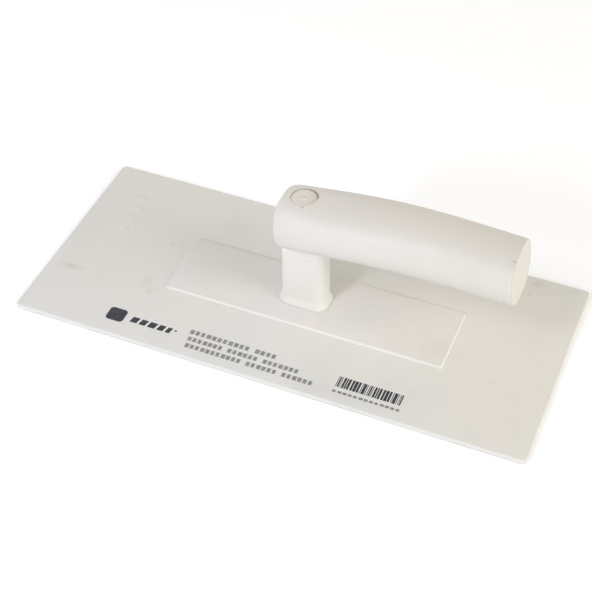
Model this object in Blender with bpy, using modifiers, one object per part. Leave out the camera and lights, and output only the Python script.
"""A plastic finishing trowel: a thin rectangular blade with an arched grip on one post.

Everything is in metres, with +Z up. The working face of the blade lies in the plane Z = 0, and the
origin is at its middle. +X runs along the blade, towards the free end of the grip.
"""

import math

import bmesh
import bpy
import numpy as np
from mathutils import Vector

GAP = 0.0003
THROUGH = 0.001

BLADE_LENGTH = 0.270
BLADE_WIDTH = 0.120
BLADE_THICKNESS = 0.003
BLADE_CORNER_RADIUS = 0.0025
BLADE_EDGE_BEVEL = 0.0004

PAD_LENGTH = 0.1506
PAD_WIDTH = 0.041
PAD_THICKNESS = 0.0009
PAD_CENTRE_X = 0.0059
PAD_CORNER_RADIUS = 0.0020
PAD_EDGE_BEVEL = 0.0006

POST_X = 0.0014
POST_LENGTH = 0.0234
POST_WIDTH = 0.014
POST_CORNER_RADIUS = 0.005
POST_TOP = 0.052
FOOT_FLARE = 0.0017
FOOT_FLARE_HEIGHT = 0.0050
FOOT_LAND_HEIGHT = 0.0006
POST_CORNER_STEPS = 5
FLARE_STEPS = 4

# Sections of the grip: place along X, height of the middle, half height, half width, and the power
# of the superellipse, which is 2 for an ellipse and grows as the section gets boxier.
GRIP_SECTIONS = (
    (0.000, 0.0574, 0.0139, 0.0159, 2.65),
    (0.030, 0.0607, 0.0140, 0.0176, 2.33),
    (0.060, 0.0622, 0.0145, 0.0174, 2.25),
    (0.085, 0.0617, 0.0141, 0.0170, 2.35),
    (0.110, 0.0608, 0.0136, 0.0165, 2.45),
)
GRIP_SIDES = 32
GRIP_SPANS = 12
NOSE_START = 0.0
NOSE_LENGTH = 0.0123
NOSE_ROUNDNESS = 4.8
NOSE_RINGS = 6
NOSE_LAST_TURN = math.radians(82)
GRIP_REAR = 0.1095
REAR_TILT = math.radians(6)
TILT_START = 0.060

GRIP_WALL = 0.003
CAVITY_FRONT = 0.019
CAVITY_SPANS = 8

CAP_THICKNESS = 0.0022
CAP_EDGE_ROUND = 0.0010
CAP_SPIGOT_DEPTH = 0.006
CAP_SPIGOT_WALL = 0.0018

COVER_RADIUS = 0.0065
COVER_TOP = 0.0705
COVER_THICKNESS = 0.0022
COVER_SKIRT_RADIUS = 0.0058
COVER_SKIRT_WALL = 0.0012
COVER_SKIRT_DEPTH = 0.0024
NUB_RADIUS = 0.0011
NUB_HEIGHT = 0.0004

BOLT_X = 0.0004
BOLT_RADIUS = 0.0029
BOLT_CLEARANCE_RADIUS = 0.0033
BOLT_HEAD_RADIUS = 0.0050
BOLT_HEAD_HEIGHT = 0.0045
BOLT_SOCKET_FLATS = 0.0040
BOLT_SOCKET_DEPTH = 0.0025
BOLT_TIP = 0.0052
BOLT_TIP_CHAMFER = 0.0008
COUNTERBORE_FLOOR = 0.0585
WASHER_RADIUS = 0.0056
WASHER_THICKNESS = 0.0015

ANCHOR_LENGTH = 0.032
ANCHOR_WIDTH = 0.014
ANCHOR_THICKNESS = 0.0012
ANCHOR_CORNER_RADIUS = 0.003
ANCHOR_SKIN = 0.0015
ANCHOR_NECK_RADIUS = 0.0048
ANCHOR_NECK_TOP = 0.0130

ROUND_SIDES = 32
CORNER_STEPS = 6

PAD_BOTTOM = BLADE_THICKNESS + GAP
PAD_TOP = PAD_BOTTOM + PAD_THICKNESS
POST_BOTTOM = PAD_TOP + GAP
ANCHOR_BOTTOM = ANCHOR_SKIN + GAP
WASHER_BOTTOM = COUNTERBORE_FLOOR + GAP
BOLT_HEAD_BOTTOM = WASHER_BOTTOM + WASHER_THICKNESS + GAP
CAP_FRONT = GRIP_REAR - CAP_THICKNESS


def clear_scene():
    for old in list(bpy.data.objects):
        bpy.data.objects.remove(old, do_unlink=True)


def new_collection(name):
    collection = bpy.data.collections.new(name)
    bpy.context.scene.collection.children.link(collection)
    return collection


def new_material(name, colour, roughness, metallic):
    material = bpy.data.materials.new(name)
    material.use_nodes = True
    shader = material.node_tree.nodes["Principled BSDF"]
    shader.inputs["Base Color"].default_value = (*colour, 1.0)
    shader.inputs["Roughness"].default_value = roughness
    shader.inputs["Metallic"].default_value = metallic
    return material


def object_from(bm, name, collection, material=None):
    """Puts a bmesh into a new object, with its faces turned outwards."""
    bmesh.ops.recalc_face_normals(bm, faces=bm.faces)
    mesh = bpy.data.meshes.new(name)
    bm.to_mesh(mesh)
    bm.free()
    thing = bpy.data.objects.new(name, mesh)
    collection.objects.link(thing)
    if material:
        mesh.materials.append(material)
    return thing


def as_cutter(thing):
    thing.hide_render = True
    thing.display_type = "WIRE"
    return thing


def combine(thing, other, operation):
    modifier = thing.modifiers.new(other.name, "BOOLEAN")
    modifier.object = other
    modifier.operation = operation
    modifier.solver = "EXACT"


def smooth_sides(thing, angle=math.radians(30)):
    thing.data.shade_smooth()
    thing.data.set_sharp_from_angle(angle=angle)


def rounded_block(name, size, middle_x, bottom, corner_radius, collection, material=None, bevel=0.0):
    """A block with round upright corners, standing at the given height."""
    length, width, height = size
    bm = bmesh.new()
    bmesh.ops.create_cube(bm, size=1.0)
    bmesh.ops.scale(bm, vec=(length, width, height), verts=bm.verts)
    bmesh.ops.translate(bm, vec=(middle_x, 0, bottom + height / 2), verts=bm.verts)
    uprights = [e for e in bm.edges if abs(e.verts[0].co.z - e.verts[1].co.z) > height / 2]
    bmesh.ops.bevel(bm, geom=uprights, offset=corner_radius, segments=CORNER_STEPS,
                    profile=0.5, affect="EDGES")
    block = object_from(bm, name, collection, material)
    if bevel:
        modifier = block.modifiers.new("edge_bevel", "BEVEL")
        modifier.width = bevel
        modifier.segments = 1
        modifier.limit_method = "ANGLE"
        modifier.angle_limit = math.radians(60)
    return block


def upright_cylinder(name, radius, bottom, top, collection, sides=ROUND_SIDES):
    """A cylinder on the bolt's axis."""
    bm = bmesh.new()
    bmesh.ops.create_cone(bm, cap_ends=True, segments=sides, radius1=radius, radius2=radius,
                          depth=top - bottom)
    bmesh.ops.translate(bm, vec=(BOLT_X, 0, (bottom + top) / 2), verts=bm.verts)
    return object_from(bm, name, collection)


def turned(name, profile, collection, material):
    """Turns a profile, given as (radius, height) from the top down its outer side, about the bolt's axis."""
    mesh = bpy.data.meshes.new(name)
    points = [(radius, 0, height) for radius, height in profile]
    mesh.from_pydata(points, [(i, i + 1) for i in range(len(points) - 1)], [])
    thing = bpy.data.objects.new(name, mesh)
    thing.location = (BOLT_X, 0, 0)
    collection.objects.link(thing)
    mesh.materials.append(material)
    screw = thing.modifiers.new("turn", "SCREW")
    screw.steps = screw.render_steps = ROUND_SIDES
    screw.use_merge_vertices = True
    screw.merge_threshold = 0.00001
    screw.use_smooth_shade = False
    return thing


def loft(name, rings, collection, material=None):
    """A closed body through a row of rings that have the same number of points."""
    bm = bmesh.new()
    rows = [[bm.verts.new(point) for point in ring] for ring in rings]
    for row, following in zip(rows, rows[1:]):
        for i in range(len(row)):
            j = (i + 1) % len(row)
            bm.faces.new((row[i], row[j], following[j], following[i]))
    bm.faces.new(rows[0])
    bm.faces.new(rows[-1])
    return object_from(bm, name, collection, material)


def rounded_rectangle(length, width, radius, height, steps):
    """Points round a rectangle with arcs at its corners, centred on the post."""
    points = []
    for quarter in range(4):
        start = quarter * math.pi / 2
        side_x = 1 if quarter in (0, 3) else -1
        side_y = 1 if quarter in (0, 1) else -1
        middle = Vector((side_x * (length / 2 - radius), side_y * (width / 2 - radius)))
        for step in range(steps + 1):
            angle = start + math.pi / 2 * step / steps
            x = POST_X + middle.x + radius * math.cos(angle)
            y = middle.y + radius * math.sin(angle)
            points.append((x, y, height))
    return points


def grip_section(x):
    """Middle height, half height, half width and power of the grip at x, on a curve through its sections."""
    places = [section[0] for section in GRIP_SECTIONS]
    sizes = []
    for column in (1, 2, 3, 4):
        values = [section[column] for section in GRIP_SECTIONS]
        sizes.append(float(np.polynomial.Polynomial.fit(places, values, len(places) - 1)(x)))
    return sizes


def grip_ring(x, inset=0.0, scale=1.0):
    """One ring of the grip's superellipse at x. Towards the rear the rings lean as the end face does."""
    middle, half_height, half_width, power = grip_section(x)
    half_height = (half_height - inset) * scale
    half_width = (half_width - inset) * scale
    lean = REAR_TILT * min(max((x - TILT_START) / (GRIP_REAR - TILT_START), 0.0), 1.0)
    ring = []
    for i in range(GRIP_SIDES):
        angle = 2 * math.pi * i / GRIP_SIDES
        c, s = math.cos(angle), math.sin(angle)
        y = half_width * math.copysign(abs(c) ** (2 / power), c)
        z = half_height * math.copysign(abs(s) ** (2 / power), s)
        ring.append((x - z * math.tan(lean), y, middle + z))
    return ring


def grip_rings(rear, spans):
    """Rings of the outer surface from the rounded nose to the given rear end."""
    rings = []
    for i in range(NOSE_RINGS):
        turn = NOSE_LAST_TURN * (1 - i / NOSE_RINGS)
        along = math.sin(turn) ** (2 / NOSE_ROUNDNESS)
        across = math.cos(turn) ** (2 / NOSE_ROUNDNESS)
        rings.append(grip_ring(NOSE_START - NOSE_LENGTH * along, scale=across))
    for i in range(spans + 1):
        rings.append(grip_ring(NOSE_START + (rear - NOSE_START) * i / spans))
    return rings


def inset_rings(front, rear, spans, inset):
    return [grip_ring(front + (rear - front) * i / spans, inset=inset) for i in range(spans + 1)]


def build_blade(parts, cutters, plastic):
    size = (BLADE_LENGTH, BLADE_WIDTH, BLADE_THICKNESS)
    blade = rounded_block("blade", size, 0, 0, BLADE_CORNER_RADIUS, parts, plastic, BLADE_EDGE_BEVEL)
    pocket_size = (ANCHOR_LENGTH + 2 * GAP, ANCHOR_WIDTH + 2 * GAP, BLADE_THICKNESS)
    pocket = rounded_block("anchor_pocket", pocket_size, BOLT_X, ANCHOR_SKIN,
                           ANCHOR_CORNER_RADIUS, cutters)
    combine(blade, as_cutter(pocket), "DIFFERENCE")


def build_backing_pad(parts, cutters, plastic):
    size = (PAD_LENGTH, PAD_WIDTH, PAD_THICKNESS)
    pad = rounded_block("backing_pad", size, PAD_CENTRE_X, PAD_BOTTOM, PAD_CORNER_RADIUS, parts, plastic)
    bevel_top_rim(pad)
    hole = upright_cylinder("pad_hole", ANCHOR_NECK_RADIUS + GAP, PAD_BOTTOM - THROUGH,
                            PAD_TOP + THROUGH, cutters)
    combine(pad, as_cutter(hole), "DIFFERENCE")


def bevel_top_rim(pad):
    """Bevels only the edges round the pad's upper face, so that its lower face stays full size."""
    bm = bmesh.new()
    bm.from_mesh(pad.data)
    middle = PAD_BOTTOM + PAD_THICKNESS / 2
    rim = [e for e in bm.edges if min(v.co.z for v in e.verts) > middle]
    bmesh.ops.bevel(bm, geom=rim, offset=PAD_EDGE_BEVEL, segments=1, profile=0.5, affect="EDGES")
    bm.to_mesh(pad.data)
    bm.free()


def build_anchor_plate(parts, cutters, steel):
    size = (ANCHOR_LENGTH, ANCHOR_WIDTH, ANCHOR_THICKNESS)
    plate = rounded_block("anchor_plate", size, BOLT_X, ANCHOR_BOTTOM, ANCHOR_CORNER_RADIUS, parts, steel)
    neck = upright_cylinder("anchor_neck", ANCHOR_NECK_RADIUS, ANCHOR_BOTTOM + ANCHOR_THICKNESS / 2,
                            ANCHOR_NECK_TOP, cutters)
    thread = upright_cylinder("anchor_thread", BOLT_RADIUS + GAP, ANCHOR_BOTTOM - THROUGH,
                              ANCHOR_NECK_TOP + THROUGH, cutters)
    combine(plate, as_cutter(neck), "UNION")
    combine(plate, as_cutter(thread), "DIFFERENCE")


def build_post(parts, cutters, plastic):
    rings = []
    for height in (0.0, FOOT_LAND_HEIGHT):
        rings.append((POST_BOTTOM + height, FOOT_FLARE))
    for step in range(1, FLARE_STEPS + 1):
        share = step / FLARE_STEPS
        height = FOOT_LAND_HEIGHT + (FOOT_FLARE_HEIGHT - FOOT_LAND_HEIGHT) * share
        rings.append((POST_BOTTOM + height, FOOT_FLARE * (1 - math.sin(share * math.pi / 2))))
    rings.append((POST_TOP, 0.0))
    outlines = []
    for height, flare in rings:
        outlines.append(rounded_rectangle(POST_LENGTH + 2 * flare, POST_WIDTH + 2 * flare,
                                          POST_CORNER_RADIUS + flare, height, POST_CORNER_STEPS))
    post = loft("post", outlines, parts, plastic)
    smooth_sides(post)
    bore = upright_cylinder("post_bore", BOLT_CLEARANCE_RADIUS, POST_BOTTOM - THROUGH,
                            POST_TOP + THROUGH, cutters)
    seat = upright_cylinder("post_anchor_seat", ANCHOR_NECK_RADIUS + GAP, POST_BOTTOM - THROUGH,
                            ANCHOR_NECK_TOP + GAP, cutters)
    combine(post, as_cutter(bore), "DIFFERENCE")
    combine(post, as_cutter(seat), "DIFFERENCE")


def build_grip(parts, cutters, plastic):
    grip = loft("grip", grip_rings(CAP_FRONT - GAP, GRIP_SPANS), parts, plastic)
    smooth_sides(grip)
    cavity = loft("grip_cavity", inset_rings(CAVITY_FRONT, CAP_FRONT + THROUGH, CAVITY_SPANS, GRIP_WALL),
                  cutters)
    socket_size = (POST_LENGTH + 2 * GAP, POST_WIDTH + 2 * GAP, POST_TOP)
    socket = rounded_block("post_socket", socket_size, POST_X, GAP, POST_CORNER_RADIUS + GAP, cutters)
    bore = upright_cylinder("grip_bore", BOLT_CLEARANCE_RADIUS, POST_TOP - THROUGH,
                            COUNTERBORE_FLOOR + THROUGH, cutters)
    skirt_room = COVER_TOP - COVER_THICKNESS - GAP
    counterbore = upright_cylinder("grip_counterbore", COVER_SKIRT_RADIUS + GAP, COUNTERBORE_FLOOR,
                                   skirt_room + THROUGH, cutters)
    crown = sum(grip_section(BOLT_X)[:2]) + THROUGH
    cover_seat = upright_cylinder("cover_seat", COVER_RADIUS + GAP, skirt_room, crown, cutters)
    for cutter in (cavity, socket, bore, counterbore, cover_seat):
        combine(grip, as_cutter(cutter), "DIFFERENCE")


def build_grip_end_cap(parts, cutters, plastic):
    rounding = CAP_EDGE_ROUND
    rings = [grip_ring(CAP_FRONT), grip_ring(GRIP_REAR - rounding)]
    rings.append(grip_ring(GRIP_REAR - rounding * 0.3, inset=rounding * 0.3))
    rings.append(grip_ring(GRIP_REAR, inset=rounding))
    cap = loft("grip_end_cap", rings, parts, plastic)
    smooth_sides(cap)
    inset = GRIP_WALL + GAP
    spigot = loft("cap_spigot", inset_rings(CAP_FRONT - CAP_SPIGOT_DEPTH, CAP_FRONT + CAP_THICKNESS / 2,
                                            1, inset), cutters)
    hollow = loft("cap_hollow", inset_rings(CAP_FRONT - CAP_SPIGOT_DEPTH - THROUGH, CAP_FRONT, 1,
                                            inset + CAP_SPIGOT_WALL), cutters)
    combine(cap, as_cutter(spigot), "UNION")
    combine(cap, as_cutter(hollow), "DIFFERENCE")


def build_screw_cover(parts, plastic):
    under = COVER_TOP - COVER_THICKNESS
    skirt_end = under - COVER_SKIRT_DEPTH
    skirt_inside = COVER_SKIRT_RADIUS - COVER_SKIRT_WALL
    profile = (
        (0, COVER_TOP + NUB_HEIGHT),
        (NUB_RADIUS * 0.7, COVER_TOP + NUB_HEIGHT * 0.8),
        (NUB_RADIUS, COVER_TOP),
        (COVER_RADIUS, COVER_TOP),
        (COVER_RADIUS, under),
        (COVER_SKIRT_RADIUS, under),
        (COVER_SKIRT_RADIUS, skirt_end),
        (skirt_inside, skirt_end),
        (skirt_inside, under),
        (0, under),
    )
    turned("screw_cover", profile, parts, plastic)


def build_handle_bolt(parts, cutters, steel):
    head_top = BOLT_HEAD_BOTTOM + BOLT_HEAD_HEIGHT
    profile = (
        (0, head_top),
        (BOLT_HEAD_RADIUS, head_top),
        (BOLT_HEAD_RADIUS, BOLT_HEAD_BOTTOM),
        (BOLT_RADIUS, BOLT_HEAD_BOTTOM),
        (BOLT_RADIUS, BOLT_TIP + BOLT_TIP_CHAMFER),
        (BOLT_RADIUS - BOLT_TIP_CHAMFER, BOLT_TIP),
        (0, BOLT_TIP),
    )
    bolt = turned("handle_bolt", profile, parts, steel)
    corners = BOLT_SOCKET_FLATS / math.sqrt(3)
    socket = upright_cylinder("bolt_socket", corners, head_top - BOLT_SOCKET_DEPTH,
                              head_top + THROUGH, cutters, sides=6)
    combine(bolt, as_cutter(socket), "DIFFERENCE")


def build_bolt_washer(parts, steel):
    top = WASHER_BOTTOM + WASHER_THICKNESS
    profile = (
        (BOLT_CLEARANCE_RADIUS, top),
        (WASHER_RADIUS, top),
        (WASHER_RADIUS, WASHER_BOTTOM),
        (BOLT_CLEARANCE_RADIUS, WASHER_BOTTOM),
        (BOLT_CLEARANCE_RADIUS, top),
    )
    turned("bolt_washer", profile, parts, steel)


def main():
    clear_scene()
    parts = new_collection("plastic_finishing_trowel")
    cutters = new_collection("cutters")
    blade_plastic = new_material("blade_plastic", (0.72, 0.71, 0.68), 0.45, 0.0)
    pad_plastic = new_material("pad_plastic", (0.73, 0.72, 0.69), 0.45, 0.0)
    post_plastic = new_material("post_plastic", (0.82, 0.81, 0.77), 0.40, 0.0)
    grip_plastic = new_material("grip_plastic", (0.78, 0.76, 0.72), 0.38, 0.0)
    cap_plastic = new_material("cap_plastic", (0.80, 0.76, 0.68), 0.42, 0.0)
    cover_plastic = new_material("cover_plastic", (0.74, 0.70, 0.65), 0.42, 0.0)
    steel = new_material("zinc_plated_steel", (0.55, 0.56, 0.58), 0.35, 1.0)
    build_blade(parts, cutters, blade_plastic)
    build_backing_pad(parts, cutters, pad_plastic)
    build_anchor_plate(parts, cutters, steel)
    build_post(parts, cutters, post_plastic)
    build_grip(parts, cutters, grip_plastic)
    build_grip_end_cap(parts, cutters, cap_plastic)
    build_screw_cover(parts, cover_plastic)
    build_handle_bolt(parts, cutters, steel)
    build_bolt_washer(parts, steel)


main()
